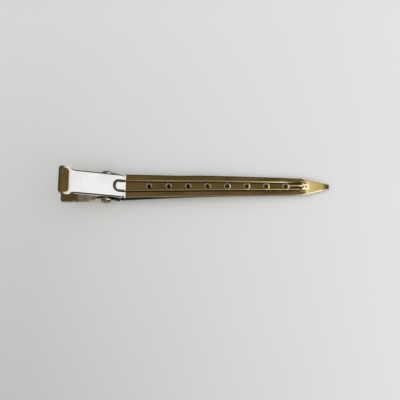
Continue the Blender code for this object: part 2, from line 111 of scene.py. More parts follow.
lower_ear_start = 0.0687
lower_ear_end = 0.0784
dome_centre = 0.0735
dome_radius = 0.00515
dome_drop = 0.00060
lower_flange_near = 0.00140
lower_flange_far = 0.00126
lower_flange_end = 0.0836
lower_step = 0.0844
lower_step_run = 0.0016

# The nested stiffening beads
bead_half_tip = 0.00163
bead_half_bend = 0.00210
bead_depth_tip = 0.00022
bead_depth_bend = 0.00036
bead_widening = 1.5
bead_ramp = 0.32
bead_end_ramp = 0.95
groove_half_tip = 0.00050
groove_half_bend = 0.00042
handle_groove_widening = 0.10
handle_groove_run = 0.0008
groove_depth = 0.00017
tip_groove_loss = 0.4
groove_starts = (0.0074, 0.0102)
panel_sinks = (0.0088, 0.0150)
floor_depth = 0.00007
end_rise = 0.00014
end_ramp = 0.00225
end_round = 0.00080
end_steepness = 0.68
end_flank = (-0.00030, 0.00100)
centre_groove_half = 0.00050
centre_groove_depth = 0.00018
centre_groove_starts = (0.0006, 0.0011)
centre_groove_ends = (-0.0014, -0.0011)
tip_crown = 0.00004
tip_crown_width = 0.00040
tip_crown_edge = 0.00030
nose_crown = 0.4
crown_grows = (0.0006, 0.0030)
crown_ends = (-0.0008, 0.0012)
bead_start = 0.0064
bead_up_handle = 0.0043
lower_bead_end = 0.0560
bead_side_gap = 0.00015

# The row of holes
first_hole = 0.05845
hole_pitch = 0.00632
hole_count = 8
hole_radius = 0.00060
collar_radius = 0.00118
collar_top = 0.00092
collar_height = 0.00003
dimple_depth = 0.00010
end_hole = 0.0076
end_hole_radius = 0.00035

# The pivot and the spring
pivot_from_tip = 0.0724
pivot_height = 0.00280
lobe_radius = 0.00220
shank_radius = 0.00110
upper_bore_play = 0.00008
lower_bore_play = 0.00005
bore_radius = 0.00080
rim_radius = 0.00165
rim_thickness = 0.00042
rim_gap = 0.00008
wire_radius = 0.00030
coil_radius = 0.00170
coil_pitch = 0.00115
coil_turns = 5
leg_length = 0.0072
leg_gap = 0.00025

# Painted shade, scuffs and settled dust: amounts, and pairs of places between which each starts or ends
seam_shade_side = (0.08, 0.40)
seam_shade_run = 0.004
seam_shade_brown_to = 0.051
seam_shade_black_from = 0.060
rim_blur = 0.00020
rim_fades = (0.0006, 0.0020)
joggle_scuff_starts = (-0.0003, -0.0001)
joggle_scuff_ends = (-0.0002, 0.0)
# painted shade, with some settled dust: the groove round the bead, the dimples and the lip's end
groove_shade_near_bottom = (-0.15, 0.35)
groove_shade_near_brim = (0.55, 0.95)
groove_shade_off_brim = (0.08, 0.35)
paler_groove_bottom = 0.25
paler_bottom_half = 0.22
inner_groove_shade = 0.45
inner_groove_shade_starts = (0.0120, 0.0160)
outer_groove_shade_at_tip = 0.35
outer_groove_shade_growth = 0.62
outer_groove_shade_grows = (0.0200, 0.0600)
handle_groove_shade = 1.1
dimple_shade = 0.85
dimple_unshaded_share = 1.15
lip_end_shade = 0.50
lip_end_shade_starts = (-0.0014, -0.0004)
# painted dark reflections along the handle's folds and on the nose
fold_shade = 1.1
fold_shade_outside = (-0.00022, -0.00006)
fold_shade_inside = (0.00022, 0.00038)
fold_shade_starts = (0.0012, 0.0024)
fold_shade_ends = (-0.0006, 0.0)
nose_shade = 1.2
nose_shade_ends = (0.0009, 0.0028)
nose_shade_side = (0.00022, 0.00042)
# painted shade on the inner faces, between the arms
handle_inner_shade = 0.1
handle_inner_starts = (0.0075, 0.0115)
lip_inner_shade = 0.42
lip_inner_starts = (-0.0060, -0.0054)

# How finely the meshes are cut
upper_columns = (10, 8, 4, 6, 9)
lower_columns = (7, 6, 4, 7, 11)
corner_points = 9
edge_steps = 3
hole_rings = 9
ring_crowding = 1.25
hole_block = 0.00120
collar_margin = 1.04
bore_block = 0.00150
rivet_cuts = 3
rivet_sides = 128
coil_points = 221
leg_points = 20
wire_sides = 24

# Where painted shade darkens the table, to the left and to the front
shade_from_x = 0.075
shade_run_x = 0.127
shade_from_y = 0.060
shade_run_y = 0.126


def smooth(share):
    """S-shaped ramp: 3t^2 - 2t^3, held at its ends."""
    t = np.clip(share, 0, 1)
    return t * t * (3 - 2 * t)


def between(value, low, high):
    """Share of the way from low to high, held at its ends."""
    return np.clip((value - low) / (high - low), 0, 1)


def rises(value, start, full):
    """S-shaped ramp from 0 at start to 1 at full."""
    return smooth(between(value, start, full))


def falls(value, full, gone):
    """S-shaped ramp from 1 at full to 0 at gone."""
    return smooth(between(-value, -gone, -full))


def world_x(from_tip):
    """Place along X of a distance from the upper arm's tip."""
    return overall_length / 2 - from_tip


class Route:
    """Straight runs joined by arcs in the side plane, through corners (distance from the tip, height)."""

    def __init__(self, corners):
        corners = np.array(corners)
        legs = np.diff(corners, axis=0)
        headings = np.arctan2(legs[:, 1], legs[:, 0])
        turns = np.diff(headings)
        reach = route_radii * np.tan(np.abs(turns) / 2)
        runs = np.hypot(legs[:, 0], legs[:, 1])
        runs[:-1] -= reach
        runs[1:] -= reach
        arcs = route_radii * np.abs(turns)
        count = len(runs) + len(arcs)
        self.length = np.zeros(count)
        self.bend = np.zeros(count)
        self.length[0::2] = runs
        self.length[1::2] = arcs
        self.bend[1::2] = np.sign(turns) / route_radii
        self.start = np.concatenate(([0.0], np.cumsum(self.length)))[:-1]
        self.heading = np.zeros(count)
        self.heading[0::2] = headings
        self.heading[1::2] = headings[:-1]
        steps = self.chord(self.length, self.heading, self.bend)
        self.origin = corners[0] + np.concatenate((np.zeros((1, 2)), np.cumsum(steps, axis=0)))[:-1]
        middles = self.start[1::2] + arcs / 2
        self.marks = np.concatenate(([0.0], middles, [self.start[-1] + runs[-1]]))

    @staticmethod
    def chord(length, heading, bend):
        """Step made by an arc: its chord l * sin(kl/2) / (kl/2), along the heading plus half the turn."""
        turn = length * bend
        reach = length * np.sinc(turn / (2 * np.pi))
        middle = heading + turn / 2
        return np.stack((reach * np.cos(middle), reach * np.sin(middle)), axis=-1)

    def at(self, distance):
        """Point (from tip, height) and heading at distances along the route."""
        k = np.clip(np.searchsorted(self.start, distance, side="right") - 1, 0, len(self.start) - 1)
        left = distance - self.start[k]
        point = self.origin[k] + self.chord(left, self.heading[k], self.bend[k])
        return point, self.heading[k] + left * self.bend[k]


def upper_heights():
    """Heights of the outer face of the arm on top: at its tip, shoulder, knee and bend."""
    shoulder = (shoulder_from_tip - lower_setback) * tip_slope + 2 * sheet + jaw_gap
    knee = shoulder + (upper_knee - shoulder_from_tip) * nip_slope
    bend = knee + (upper_bend - upper_knee) * back_slope
    return shoulder - shoulder_from_tip * tip_slope, shoulder, knee, bend


def upper_route():
    """Outer face of the arm on top: jaw, raised handle, joggle and flared lip."""
    tip, shoulder, knee, height = upper_heights()
    bend = np.array((upper_bend, height))
    along = np.array((math.cos(handle_angle), math.sin(handle_angle)))
    outward = np.array((-along[1], along[0]))
    step = bend + along * upper_step
    step_top = step + along * step_run + outward * step_rise
    flare = handle_angle + lip_flare
    lip = upper_handle_length - upper_step - step_run
    end = step_top + np.array((math.cos(flare), math.sin(flare))) * lip
    return Route(((0.0, tip), (shoulder_from_tip, shoulder), (upper_knee, knee), bend, step, step_top, end))


def lower_route():
    """Outer face of the plain arm below, whose handle lies flat."""
    shoulder = (shoulder_from_tip - lower_setback) * tip_slope
    knee = shoulder + (lower_knee - shoulder_from_tip) * nip_slope
    rise = (overall_length - lower_step - lower_step_run) * lower_lip_flare
    return Route((
        (lower_setback, 0.0), (shoulder_from_tip, shoulder), (lower_knee, knee), (lower_bend, 0.0),
        (lower_step, 0.0), (lower_step + lower_step_run, rise), (overall_length, 0.0),
    ))


def rounded(half, radius, to_end):
    """Half width near an end whose corners are quarter circles of that radius."""
    left = np.clip(radius - to_end, 0, radius)
    return half - radius + np.sqrt(radius * radius - left * left)


def with_corners(distance, half, end, end_half):
    """Half widths with the rounded corners of the nose and the lip cut in."""
    half = np.where(distance < nose_corner, rounded(nose_half, nose_corner, distance), half)
    return np.where(distance > end - lip_corner, rounded(end_half, lip_corner, end - distance), half)


def jaw_flange(distance, end, full, end_round):
    """Depth of a jaw's flange: it grows from the middle of the jaw and ends in an ellipse at the notch."""
    depth = least_fold + (full - least_fold) * between(distance, flange_start, end)
    into = np.clip((distance - end + end_round) / end_round, 0, 1)
    return notch_fold + (depth - notch_fold) * np.sqrt(1 - into * into)


class Arm:
    """One stamped arm: its route, and functions for its widths, flanges, relief, painted shade with dust,
    and scuffs.
    """

    def __init__(self, route, facing, halves, flanges, relief, shade_and_soil, rim, widen):
        self.route = route
        self.facing = facing
        self.halves = halves
        self.flanges = flanges
        self.relief = relief
        self.shade_and_soil = shade_and_soil
        self.rim = rim
        self.widen = widen

    def fold(self, distance):
        """Web half width, fold angle and straight tail of the section at a distance."""
        depth = self.flanges(distance)
        arc_depth = np.minimum(corner_radius, depth * fold_share)
        angle = np.arccos(1 - arc_depth / corner_radius)
        rest = depth - arc_depth
        web = self.halves(distance) - corner_radius * np.sin(angle) - rest / np.tan(angle)
        return web, angle, rest / np.sin(angle)

    def across(self, distance, counts):
        """Places across the sheet at every section, so many over the bead's floor, its wall, the rest of
        the web, the fold and the flange. The shares keep these parts in order where the arm is narrow."""
        web, angle, tail = self.fold(distance)
        bend = self.route.marks[3]
        half = bead_half(distance, bend, self.widen)
        wall = np.minimum(half * 1.01, web * 0.90)
        floor = np.minimum(half - groove_half(distance, bend) * 2.02, wall * 0.64)
        outer = corner_radius * angle + tail - edge_round
        fold_end = np.minimum(corner_radius * angle, outer * 0.9)
        starts = (0 * floor, floor, wall, web, web + fold_end)
        lengths = (floor, wall - floor, web - wall, fold_end, outer - fold_end)
        parts = [floor[:, None] * 0]
        for start, length, count in zip(starts, lengths, counts):
            parts.append(start[:, None] + length[:, None] * np.linspace(0, 1, count + 1)[1:])
        half = np.concatenate(parts, axis=1)
        return np.concatenate((-half[:, :0:-1], half), axis=1)

    def place(self, distance, across, under=0.0):
        """Point of the sheet: section (flat web, arc, straight tail) set on the route, moved inward by
        the relief and by a depth under the outer face."""
        web, angle, _ = self.fold(distance)
        side = np.sign(across)
        reach = np.abs(across)
        arc = np.clip((reach - web) / corner_radius, 0, angle)
        tail = np.maximum(reach - web - corner_radius * angle, 0)
        out = np.minimum(reach, web) + corner_radius * np.sin(arc) + tail * np.cos(angle)
        depth = corner_radius * (1 - np.cos(arc)) + tail * np.sin(angle)
        sink = under + self.relief(distance, across) * (reach < web + corner_radius)
        out = out - np.sin(arc) * sink
        depth = depth + np.cos(arc) * sink
        point, heading = self.route.at(distance)
        x = point[..., 0] + np.sin(heading) * depth * self.facing
        z = point[..., 1] - np.cos(heading) * depth * self.facing
        return np.stack((world_x(x), side * out, z), axis=-1)

    def film(self, distance, across):
        """How much painted shade darkens the front flange along the seam between the jaws."""
        down = rises((-across - self.fold(distance)[0]) / corner_radius, *seam_shade_side)
        along = rises(distance, shoulder_from_tip, shoulder_from_tip + seam_shade_run)
        return down * along * (distance < self.route.marks[3] + upper_notch)

    def fold_highlight(self, distance, across):
        """How much painted highlight lies on the fold: most on the outside of the bend, less down the
        flange.
        """
        round_fold = (np.abs(across) - self.fold(distance)[0]) / corner_radius
        return smooth(round_fold / 0.5) * (1 - 0.6 * smooth(round_fold / 1.6 - 0.6))

    def normal(self, distance, across):
        """Outward normal from central differences along and across the outer face."""
        small = 2.0e-6
        along = self.place(distance + small, across) - self.place(distance - small, across)
        over = self.place(distance, across + small) - self.place(distance, across - small)
        return unit(np.cross(over, along)) * self.facing


def unit(vectors):
    """Vectors scaled to length one."""
    return vectors / np.maximum(np.linalg.norm(vectors, axis=-1, keepdims=True), 1e-12)


def bead_half(distance, bend, widen):
    """Half width of a bead, which widens toward the bend."""
    share = np.clip(distance / bend, 0, 1)
    return bead_half_tip + (bead_half_bend - bead_half_tip) * share**bead_widening + widen


def groove_half(distance, bend):
    """Half width of the upper bead's groove, which narrows toward the bend."""
    return groove_half_tip + (groove_half_bend - groove_half_tip) * np.clip(distance / bend, 0, 1)


def inside_bead(distance, across, start, end, bend, widen):
    """Distance inward from a bead's outline, whose ends are round, its half width, and how far round
    its end the place lies, from 0 to 1."""
    half = bead_half(distance, bend, widen)
    past = np.maximum(np.maximum(start + half - distance, distance - end + half), 0)
    return half - np.hypot(across, past), half, past / half


def groove_share(distance, across):
    """Place in the groove that outlines the bead on top: -1 at its outer side, 0 at its bottom, 1 at
    its inner side."""
    bend = upper_arm_route.marks[3]
    inside, _, past = inside_bead(distance, across, bead_start, bend + bead_up_handle, bend, 0.0)
    wide = groove_half(distance, bend)
    wide = wide * (1 + handle_groove_widening * rises(distance, bend, bend + handle_groove_run))
    return inside / (wide * (1 + bead_end_ramp * past**2)) - 1


def grooved_bead(distance, across):
    """Relief of the bead on top: a groove, depth * (1 + cos(pi t)) / 2, round a slightly sunk panel.
    Toward the tip the panel comes up level and then rises above the web, rise * r * (s + (1 - s) r)."""
    t = np.clip(groove_share(distance, across), -1, 1)
    half = bead_half(distance, upper_arm_route.marks[3], 0.0)
    near_tip = falls(distance, *panel_sinks)
    depth = groove_depth * (1 - near_tip * tip_groove_loss) * rises(distance, *groove_starts)
    run = between(distance - end_round * (across / half) ** 2, bead_start, bead_start + end_ramp)
    ramp = run * (end_steepness + (1 - end_steepness) * run)
    raised = end_rise * near_tip * ramp * rises(half - np.abs(across), *end_flank)
    panel = floor_depth * (1 - near_tip) * smooth((t + 1) / 2)
    return depth * (1 + np.cos(np.pi * t)) / 2 + panel - raised


def centre_groove(distance, across):
    """Short groove on the middle line between the end hole and the row of holes."""
    row_end = hole_list()[-2][0]
    share = rises(distance - end_hole, *centre_groove_starts)
    share = share * falls(distance - row_end, *centre_groove_ends)
    t = np.clip(across / centre_groove_half, -1, 1)
    return centre_groove_depth * (1 + np.cos(np.pi * t)) / 2 * share


def inward_from_side(distance, across):
    """How far inward from the side of the arm on top a place lies, seen from above."""
    return upper_halves(distance) - np.abs(across)


def crowned_tip(distance, across):
    """How far the web of the upper tip falls away toward its edges: drop * t^2."""
    inward = inward_from_side(distance, across)
    t = 1 - between(inward, tip_crown_edge, tip_crown_edge + tip_crown_width)
    to_nose = nose_crown + (1 - nose_crown) * rises(distance, *crown_grows)
    return tip_crown * t**2 * to_nose * falls(distance - shoulder_from_tip, *crown_ends)


def hole_list():
    """Holes of the upper jaw as (distance along, radius)."""
    row = [(first_hole - hole_pitch * k, hole_radius) for k in range(hole_count)]
    return row + [(end_hole, end_hole_radius)]


def pivot_in_handle():
    """The pivot seen from the upper bend: distance up the handle and depth under its outer face."""
    run = pivot_from_tip - upper_bend
    drop = upper_heights()[3] - pivot_height
    up = run * math.cos(handle_angle) - drop * math.sin(handle_angle)
    under = run * math.sin(handle_angle) + drop * math.cos(handle_angle)
    return up, under


def upper_ear_depth(up):
    """Depth of the inner ear: a straight front, a lobe round the pivot and a tangent back to the flange."""
    centre_up, centre_under = pivot_in_handle()
    away = np.array((upper_ear_end - centre_up, upper_flange_near - centre_under))
    heading = math.atan2(away[1], away[0]) + math.acos(lobe_radius / np.linalg.norm(away))
    touch = (centre_up + lobe_radius * math.cos(heading), centre_under + lobe_radius * math.sin(heading))
    fall = (touch[1] - upper_flange_near) / (touch[0] - upper_ear_end)
    back = upper_flange_near + (up - upper_ear_end) * fall
    front = centre_under + lobe_radius / math.cos(handle_angle) + (up - centre_up) * math.tan(handle_angle)
    lobe = centre_under + np.sqrt(np.maximum(lobe_radius**2 - (up - centre_up) ** 2, 0))
    leftmost = centre_up - lobe_radius * math.sin(handle_angle)
    return np.where(up > touch[0], back, np.where(up < leftmost, front, lobe))


def upper_halves(distance):
    """Half width along the arm on top."""
    bend, end = upper_arm_route.marks[3], upper_arm_route.marks[6]
    lip = bend + lip_widening_start
    at = (nose_corner, shoulder_from_tip, bend + upper_notch, bend + upper_waist, bend + upper_ear_start,
          lip, lip + lip_widening)
    sizes = (nose_half, shoulder_half, bend_half, waist_half, handle_half, handle_half, lip_half)
    return with_corners(distance, np.interp(distance, at, sizes), end, lip_half)


def upper_flanges(distance):
    """Flange depth along the arm on top."""
    bend = upper_arm_route.marks[3]
    up = distance - bend
    jaw = jaw_flange(distance, bend + upper_notch, upper_jaw_flange, upper_notch_round)
    at = (upper_ear_end, upper_flange_end, upper_flange_end + flange_chamfer)
    handle = np.interp(up, at, (upper_flange_near, upper_flange_far, least_fold))
    ear = upper_ear_depth(up)
    behind = np.where(up < upper_ear_start, notch_fold, np.where(up < upper_ear_end, ear, handle))
    return np.where(up < upper_notch, jaw, behind)


def upper_relief(distance, across):
    """How far the outer face of the arm on top is pushed in: the bead, the short groove, the crown of
    the tip, a collar and a dimple round every hole of the row, less the curl of the lip."""
    end = upper_arm_route.marks[6]
    sink = grooved_bead(distance, across) + centre_groove(distance, across) + crowned_tip(distance, across)
    sink = sink - lip_curl * between(distance, end - lip_curl_length, end) ** 2
    for centre, radius in hole_list()[:-1]:
        from_centre = np.hypot(distance - centre, across)
        rise = falls(from_centre, collar_top, collar_radius)
        dip = falls(from_centre, radius, collar_top)
        sink = sink + (collar_height + dimple_depth) * dip - collar_height * rise
    return sink


def upper_shade_and_soil(distance, across):
    """Where the outer face is darkened: painted shade, with some settled polish and dust, in the groove,
    most of all where it turns on the handle, in the holes' dimples and on the lip's end; painted dark
    reflections along the handle's folds and on the nose."""
    bend, step, _, end = upper_arm_route.marks[3:7]
    t = groove_share(distance, across)
    inner = rises(t, *groove_shade_near_bottom) * falls(t, *groove_shade_near_brim)
    outer = rises(-t, *groove_shade_near_bottom) * falls(-t, *groove_shade_near_brim)
    whole = rises(1 - np.abs(t), *groove_shade_off_brim) * (1 - paler_groove_bottom * np.exp(-((t / paler_bottom_half) ** 2)))
    darkened = inner_groove_shade * inner * rises(distance, *inner_groove_shade_starts)
    outer_groove_shade = outer_groove_shade_at_tip + outer_groove_shade_growth * between(distance, *outer_groove_shade_grows)
    darkened = np.maximum(darkened, outer_groove_shade * outer)
    darkened = np.where(distance > bend, handle_groove_shade * whole, darkened)
    for centre, radius in hole_list()[:-1]:
        from_centre = np.hypot(distance - centre, across)
        darkened = np.maximum(darkened, dimple_shade * falls(from_centre, radius * dimple_unshaded_share, collar_top))
    darkened = np.maximum(darkened, lip_end_shade * rises(distance - end, *lip_end_shade_starts))
    inward = inward_from_side(distance, across)
    # painted dark reflection along the handle's folds
    fold_line = rises(inward, *fold_shade_outside) * falls(inward, *fold_shade_inside)
    along_handle = rises(distance - bend, *fold_shade_starts) * falls(distance - step, *fold_shade_ends)
    darkened = np.maximum(darkened, fold_shade * fold_line * along_handle)
    # painted dark reflection on the nose
    nose = falls(distance, *nose_shade_ends) * rises(inward, *nose_shade_side)
    return np.maximum(np.minimum(darkened, 1.0), nose * nose_shade)


def upper_rim(distance, across):
    """Where the joggle and the border of the lip are scuffed matt. The border leaves a pad with round
    corners: its distance from the corner's centre is the hypotenuse of what is short of it."""
    step, step_top = upper_arm_route.marks[4:6]
    past_top = distance - step_top
    joggle = rises(distance - step, *joggle_scuff_starts) * falls(past_top, *joggle_scuff_ends)
    from_border = inward_from_side(distance, across) - rim_width
    short_across = np.maximum(pad_corner - from_border, 0)
    short_along = np.maximum(pad_corner - past_top - pad_overlap, 0)
    short = np.hypot(short_across, short_along)
    border = rises(short, pad_corner - rim_blur, pad_corner + rim_blur) * (distance > step)
    return np.maximum(joggle, border * falls(past_top, *rim_fades))


def clean(distance, across):
    """Zero at every place: the outer face of the plain arm has no painted shade, no dust and no scuffs."""
    return 0.0 * distance * across


def lower_halves(distance):
    """Half width along the plain arm."""
    from_tip = distance + lower_setback
    bend, _, _, end = lower_arm_route.marks[3:7]
    notch = lower_bend + lower_notch
    jaw = np.interp(distance, (nose_corner, shoulder_from_tip, bend), (nose_half, shoulder_half, bend_half))
    ears = bend_half + (ear_outer_half - bend_half) * between(from_tip, notch, lower_ear_start)
    narrowing = rises(from_tip, lower_ear_end, lower_flange_end)
    handle = ears + (lower_handle_half - ear_outer_half) * narrowing
    return with_corners(distance, np.where(from_tip < notch, jaw, handle), end, lower_handle_half)


def lower_flanges(distance):
    """Flange depth along the plain arm, with its domed ears."""
    from_tip = distance + lower_setback
    notch = lower_bend + lower_notch
    jaw = jaw_flange(distance, notch - lower_setback, lower_jaw_flange, lower_notch_round)
    dome = np.sqrt(np.maximum(dome_radius**2 - (from_tip - dome_centre) ** 2, 0)) - dome_drop
    at = (lower_ear_end, lower_flange_end, lower_flange_end + flange_chamfer)
    handle = np.interp(from_tip, at, (lower_flange_near, lower_flange_far, least_fold))
    behind = np.where(from_tip < lower_ear_end, dome, handle)
    behind = np.where(from_tip < lower_ear_start, notch_fold, behind)
    return np.where(from_tip < notch, jaw, behind)


def lower_relief(distance, across):
    """The bead of the plain arm, pushed outward so that the upper one nests in it: depth times
    3t^2 - 2t^3 over its ramp."""
    start, end, bend = bead_start - lower_setback, lower_bead_end - lower_setback, lower_arm_route.marks[3]
    inside, half, _ = inside_bead(distance, across, start, end, bend, bead_side_gap)
    depth = bead_depth_tip + (bead_depth_bend - bead_depth_tip) * np.clip(distance / bend, 0, 1)
    return -depth * smooth(inside / (half * bead_ramp))


upper_arm_route = upper_route()
lower_arm_route = lower_route()
upper_form = Arm(upper_arm_route, 1, upper_halves, upper_flanges, upper_relief, upper_shade_and_soil, upper_rim, 0.0)
lower_form = Arm(lower_arm_route, -1, lower_halves, lower_flanges, lower_relief, clean, clean,
                 bead_side_gap)


def stations(spans, end):
    """Where an arm's sections stand: a chain of spans (start, step), each as far as the next one's
    start, and r (1 - cos a) at even angles over the rounded corners at its nose and lip."""
    corner = 1 - np.cos(np.linspace(0, np.pi / 2, corner_points))
    found = [edge_round + nose_corner * corner, end - edge_round - lip_corner * corner]
    for (here, step), (there, _) in zip(spans, spans[1:] + [(end - lip_corner, None)]):
        found.append(np.linspace(here, there, max(1, math.ceil((there - here) / step)) + 1))
    places = np.concatenate(found)
    inside = (places >= edge_round) & (places <= end - edge_round)
    places = np.unique(np.round(places[inside], 8))
    return places[np.concatenate(([True], np.diff(places) > 1.5e-5))]


def upper_stations():
    """Sections of the arm on top: fine at holes, bead ends, notch, ears and lip."""
    bend, _, step_top, end = upper_arm_route.marks[3:7]
    spans = [(nose_corner, 0.00028), (bead_start, 0.00012), (0.0092, 0.00030)]
    for centre, _ in hole_list()[-2::-1]:
        spans += [(centre - hole_block, 0.00012), (centre + hole_block, 0.00033)]
    spans[-1] = (first_hole + hole_block, 0.00030)
    spans += [
        (bend - 0.0006, 0.00006), (bend + upper_ear_start, 0.00010),
        (bend + bead_up_handle + 0.0004, 0.00015), (bend + upper_ear_end, 0.00040),
        (bend + upper_flange_end, 0.00007), (step_top + 0.0004, 0.00030),
    ]
    return stations(spans, end)


def lower_stations():
    """Sections of the plain arm: fine at bead ends, notch, ears and lip."""
    bend, _, step_top, end = lower_arm_route.marks[3:7]
    bead_to = lower_bead_end - lower_setback
    spans = [
        (nose_corner, 0.00028), (bead_start - lower_setback, 0.00015), (0.0075, 0.00040),
        (bead_to - 0.003, 0.00015), (bead_to + 0.0004, 0.00030), (bend - 0.0014, 0.00006),
        (lower_ear_start - lower_setback, 0.00012), (lower_ear_end - lower_setback, 0.00040),
        (lower_flange_end - lower_setback, 0.00007), (step_top + 0.0004, 0.00030),
    ]
    return stations(spans, end)


def block_round(along, across, centre, reach):
    """Rows and columns of the grid that stand round a hole's centre."""
    first = np.searchsorted(along, centre[0] - reach) - 1
    last = np.searchsorted(along, centre[0] + reach)
    middle = np.searchsorted(along, centre[0])
    left = np.searchsorted(across[middle], centre[1] - reach) - 1
    right = np.searchsorted(across[middle], centre[1] + reach)
    return first, last, left, right


def bands(loops):
    """Quads between closed loops of points, one loop to a row."""
    turned = np.roll(loops, -1, axis=1)
    return np.stack((loops[:-1], turned[:-1], turned[1:], loops[1:]), axis=-1).reshape(-1, 4)


def grid_with_holes(along, across, holes):
    """A flat mesh over (along, across): a grid whose blocks round the holes give way to rings that run
    from the block's outline B to the hole's circle C as B + (C - B) * t, closer toward the hole.

    Returns the points, the quads and the loops of cut edges.
    """
    rows, columns = across.shape
    u = across.ravel()
    d = np.repeat(along, columns)
    index = np.arange(rows * columns).reshape(rows, columns)
    quads = np.stack((index[:-1, :-1], index[1:, :-1], index[1:, 1:], index[:-1, 1:]), axis=-1)
    keep = np.ones(quads.shape[:2], bool)
    points = [np.stack((d, u), axis=1)]
    count = rows * columns
    extra = []
    loops = [np.concatenate((index[0, :-1], index[:-1, -1], index[-1, :0:-1], index[:0:-1, 0]))]
    for centre, radius, reach in holes:
        i0, i1, j0, j1 = block_round(along, across, centre, reach)
        keep[i0:i1, j0:j1] = False
        sides = (index[i0, j0:j1], index[i0:i1, j1], index[i1, j1:j0:-1], index[i1:i0:-1, j0])
        ring = np.concatenate(sides)
        outline = points[0][ring]
        away = outline - np.array(centre)
        circle = np.array(centre) + unit(away) * radius
        t = 1 - (1 - np.linspace(0, 1, hole_rings + 1)[1:, None, None]) ** ring_crowding
        added = outline + (circle - outline) * t
        numbers = count + np.arange(hole_rings * len(ring)).reshape(hole_rings, len(ring))
        count += added.shape[0] * added.shape[1]
        points.append(added.reshape(-1, 2))
        levels = np.concatenate((ring[None], numbers))
        extra.append(bands(levels)[:, [0, 3, 2, 1]])
        loops.append(levels[-1][::-1])
    faces = [quads[keep].reshape(-1, 4)] + extra
    return np.concatenate(points), np.concatenate(faces), loops


def put_in_scene(name, data):
    """An object for a mesh, a camera or a lamp, at the origin."""
    item = bpy.data.objects.new(name, data)
    bpy.context.scene.collection.objects.link(item)
    return item


def mesh_from(name, points, faces, normals=None, marks=None):
    """Mesh from whole arrays, with its own normals and named values at its points."""
    used, numbers = np.unique(faces, return_inverse=True)
    faces = numbers.reshape(faces.shape)
    points = points[used]
    mesh = bpy.data.meshes.new(name)
    mesh.vertices.add(len(points))
    mesh.vertices.foreach_set("co", points.astype(np.float32).ravel())
    sides = faces.shape[1]
    mesh.loops.add(faces.size)
    mesh.loops.foreach_set("vertex_index", faces.astype(np.int32).ravel())
    mesh.polygons.add(len(faces))
    mesh.polygons.foreach_set("loop_start", np.arange(0, faces.size, sides, dtype=np.int32))
    mesh.polygons.foreach_set("use_smooth", np.ones(len(faces), bool))
    mesh.update(calc_edges=True)
    mesh.validate()
    for label, values in (marks or {}).items():
        layer = mesh.attributes.new(label, "FLOAT", "POINT")
        layer.data.foreach_set("value", values[used].astype(np.float32))
    if normals is not None:
        mesh.normals_split_custom_set_from_vertices(normals[used].astype(np.float32).tolist())
    return put_in_scene(name, mesh)


def arm_marks(arm, d, u):
    """Named values for an arm's outer face, inner face and edges. Inside, painted shade darkens the jaw
    fully, the handle hardly at all and the lip a little."""
    film, bright, darkened, worn = arm.film(d, u), arm.fold_highlight(d, u), arm.shade_and_soil(d, u), arm.rim(d, u)
    bend, end = arm.route.marks[3], arm.route.marks[6]
    # painted shade on the inner face: full in the jaw, fading up the handle, a little on the lip
    inner = 1 - (1 - handle_inner_shade) * rises(d - bend, *handle_inner_starts)
    inner = np.maximum(inner, lip_inner_shade * rises(d - end, *lip_inner_starts))
    none = np.zeros(len(d))
    return {
        "cut_edge": (none, none, none + 1),
        "painted_seam_shade": (film, film, film),
        "painted_fold_highlight": (bright, none, bright),
        "painted_shade_and_soil": (darkened, inner, darkened),
        "scuffed_rim": (worn, none, worn),
    }


def stamped_arm(name, arm, along, columns, holes):
    """A sheet of even thickness: outer face, inner face and, round every cut edge, a strip whose
    corners are quarter circles: P + r (sin a T + (cos a - 1) N), with T out of the edge."""
    across = arm.across(along, columns)
    flat, quads, loops = grid_with_holes(along, across, holes)
    d, u = flat[:, 0], flat[:, 1]
    outer = arm.place(d, u)
    inner = arm.place(d, u, sheet)
    n = arm.normal(d, u)
    points, normals = [outer, inner], [n, -n]
    count = len(outer)
    quads = quads[:, ::-arm.facing]
    faces = [quads, quads[:, ::-1] + count]
    on_arm = arm_marks(arm, d, u)
    marks = {label: [on_outer, on_inner] for label, (on_outer, on_inner, _) in on_arm.items()}
    total = 2 * count
    turn = np.linspace(0, np.pi / 2, edge_steps + 1)[1:]
    for loop in loops:
        edge, edge_n = outer[loop], n[loop]
        deep = inner[loop]
        tangent = unit(np.roll(edge, -1, axis=0) - np.roll(edge, 1, axis=0))
        out = unit(np.cross(tangent, edge_n)) * -arm.facing
        rows, row_normals = [], []
        for brink, away, angles in ((edge, edge_n, turn), (deep, -edge_n, turn[::-1])):
            for angle in angles:
                rows.append(brink + edge_round * (math.sin(angle) * out + (math.cos(angle) - 1) * away))
                row_normals.append(math.sin(angle) * out + math.cos(angle) * away)
        size = len(loop)
        numbers = total + np.arange(len(rows) * size).reshape(len(rows), size)
        levels = np.concatenate((loop[None], numbers, loop[None] + count))
        faces.append(bands(levels)[:, ::arm.facing])
        points.append(np.concatenate(rows))
        normals.append(np.concatenate(row_normals))
        for label, (_, _, on_edge) in on_arm.items():
            marks[label].append(np.tile(on_edge[loop], len(rows)))
        total += len(rows) * size
    marks = {label: np.concatenate(parts) for label, parts in marks.items()}
    return mesh_from(name, np.concatenate(points), np.concatenate(faces), np.concatenate(normals), marks)


def turned_ring(name, profile, sides):
    """Solid of revolution about the pivot: (r cos a, y, r sin a) for a closed profile of (r, y)."""
    angle = np.linspace(0, 2 * np.pi, sides, endpoint=False)[:, None]
    r, y = profile[:, 0], profile[:, 1]
    width = np.broadcast_to(y, (sides, len(y)))
    points = np.stack((r * np.cos(angle), width, r * np.sin(angle)), axis=-1)
    points = points.reshape(-1, 3) + np.array((world_x(pivot_from_tip), 0.0, pivot_height))
    index = np.arange(sides * len(profile)).reshape(sides, len(profile))
    return mesh_from(name, points, bands(np.concatenate((index, index[:1]))))


def cut_corners(profile, times):
    """Rounds a closed profile by cutting every corner at 1/4 and 3/4 of its sides."""
    for _ in range(times):
        after = np.roll(profile, -1, axis=0)
        near, far = profile * 0.75 + after * 0.25, profile * 0.25 + after * 0.75
        profile = np.stack((near, far), axis=1).reshape(-1, 2)
    return profile


